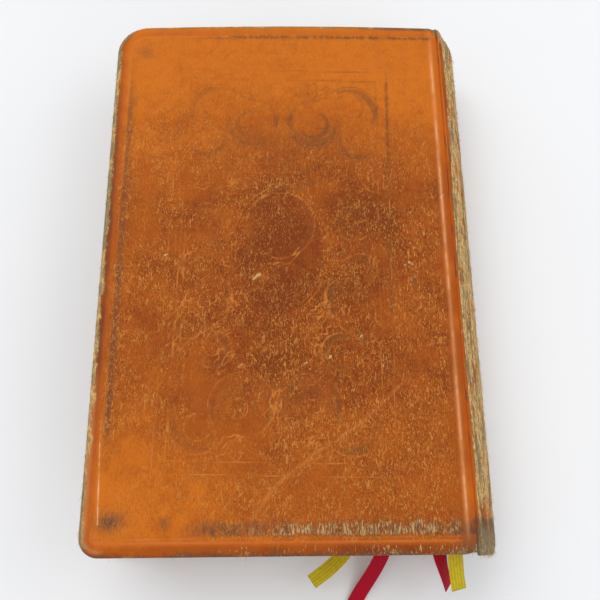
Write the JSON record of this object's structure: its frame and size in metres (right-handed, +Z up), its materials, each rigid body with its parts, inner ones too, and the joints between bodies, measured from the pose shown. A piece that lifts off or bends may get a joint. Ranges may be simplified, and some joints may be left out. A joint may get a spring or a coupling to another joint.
{
  "type": "prayer book",
  "caption": "Small leather-bound prayer book with cushioned covers hinged on a rounded spine, a sewn block of leaves that fans open, and narrow ribbon markers.",
  "frame": {"origin": "the middle of the book's footprint without the ribbons, on the surface that it lies on", "axes": "+X towards the spine, +Y towards the head, +Z up through the covers, with the back cover uppermost"},
  "size_m": [0.108, 0.1909, 0.0298],
  "materials": {
    "cover_leather": "worn, waxed orange-brown calf with blind tooling",
    "spine_leather": "very worn, rubbed to pale fibres",
    "padding": "felted",
    "board": "pressed grey-brown millboard",
    "endpaper": "aged, matt",
    "page_paper": "aged book paper with cut edges",
    "lining_paper": "kraft",
    "linen": "plain weave",
    "thread": "twisted linen",
    "silk_band": "silk over a cord",
    "red_ribbon": "ribbed woven rayon, raw end",
    "yellow_ribbon": "ribbed woven rayon, raw end"
  },
  "bodies": {
    "text_block": {"section_02": "page_paper", "section_03": "page_paper", "section_04": "page_paper", "section_05": "page_paper", "section_06": "page_paper", "section_07": "page_paper", "section_08": "page_paper", "section_09": "page_paper", "section_10": "page_paper", "section_11": "page_paper", "section_12": "page_paper", "section_13": "page_paper", "section_14": "page_paper", "section_15": "page_paper", "sewn_folds": "page_paper", "sewing_thread": "thread", "sewing_tapes": "linen", "headband": "silk_band", "tailband": "silk_band", "mull": "linen", "spine_lining": "lining_paper", "hollow_tube": "lining_paper", "spine_inlay": "board", "headcap_cord": "thread", "tailcap_cord": "thread", "spine_leather": "spine_leather", "red_ribbon_1": "red_ribbon", "yellow_ribbon_1": "yellow_ribbon", "red_ribbon_2": "red_ribbon", "yellow_ribbon_2": "yellow_ribbon"},
    "back_cover": {"back_leather": "cover_leather", "back_padding": "padding", "back_board": "board", "back_pastedown": "endpaper"},
    "front_cover": {"front_leather": "cover_leather", "front_padding": "padding", "front_board": "board", "front_pastedown": "endpaper"},
    "back_endleaf": {"back_flyleaf": "endpaper"},
    "last_leaves": {"section_18": "page_paper"},
    "late_leaves": {"section_17": "page_paper"},
    "later_leaves": {"section_16": "page_paper"},
    "front_endleaf": {"front_flyleaf": "endpaper"},
    "first_leaves": {"section_01": "page_paper"}
  },
  "joints": [
    {"name": "back_cover_hinge", "type": "hinge", "parent": "text_block", "child": "back_cover", "pos_m": [0.0459, 0, 0.0291], "axis": [0, 1, 0], "range_deg": [0, 180]},
    {"name": "back_endleaf_turn", "type": "hinge", "parent": "text_block", "child": "back_endleaf", "pos_m": [0.044, 0, 0.0291], "axis": [0, 1, 0], "range_deg": [0, 168]},
    {"name": "last_leaves_turn", "type": "hinge", "parent": "text_block", "child": "last_leaves", "pos_m": [0.044, 0, 0.0291], "axis": [0, 1, 0], "range_deg": [0, 148]},
    {"name": "late_leaves_turn", "type": "hinge", "parent": "text_block", "child": "late_leaves", "pos_m": [0.044, 0, 0.0291], "axis": [0, 1, 0], "range_deg": [0, 127]},
    {"name": "later_leaves_turn", "type": "hinge", "parent": "text_block", "child": "later_leaves", "pos_m": [0.044, 0, 0.0291], "axis": [0, 1, 0], "range_deg": [0, 102]},
    {"name": "front_cover_hinge", "type": "hinge", "parent": "text_block", "child": "front_cover", "pos_m": [0.0459, 0, 0.0007], "axis": [0, -1, 0], "range_deg": [0, 180]},
    {"name": "front_endleaf_turn", "type": "hinge", "parent": "text_block", "child": "front_endleaf", "pos_m": [0.044, 0, 0.0007], "axis": [0, -1, 0], "range_deg": [0, 168]},
    {"name": "first_leaves_turn", "type": "hinge", "parent": "text_block", "child": "first_leaves", "pos_m": [0.044, 0, 0.0007], "axis": [0, -1, 0], "range_deg": [0, 148]}
  ],
  "couplings": [
    {"joint": "back_endleaf_turn", "follows": "back_cover_hinge", "ratio": 0.93},
    {"joint": "last_leaves_turn", "follows": "back_cover_hinge", "ratio": 0.82},
    {"joint": "late_leaves_turn", "follows": "back_cover_hinge", "ratio": 0.7},
    {"joint": "later_leaves_turn", "follows": "back_cover_hinge", "ratio": 0.56},
    {"joint": "front_endleaf_turn", "follows": "front_cover_hinge", "ratio": 0.93},
    {"joint": "first_leaves_turn", "follows": "front_cover_hinge", "ratio": 0.82}
  ]
}
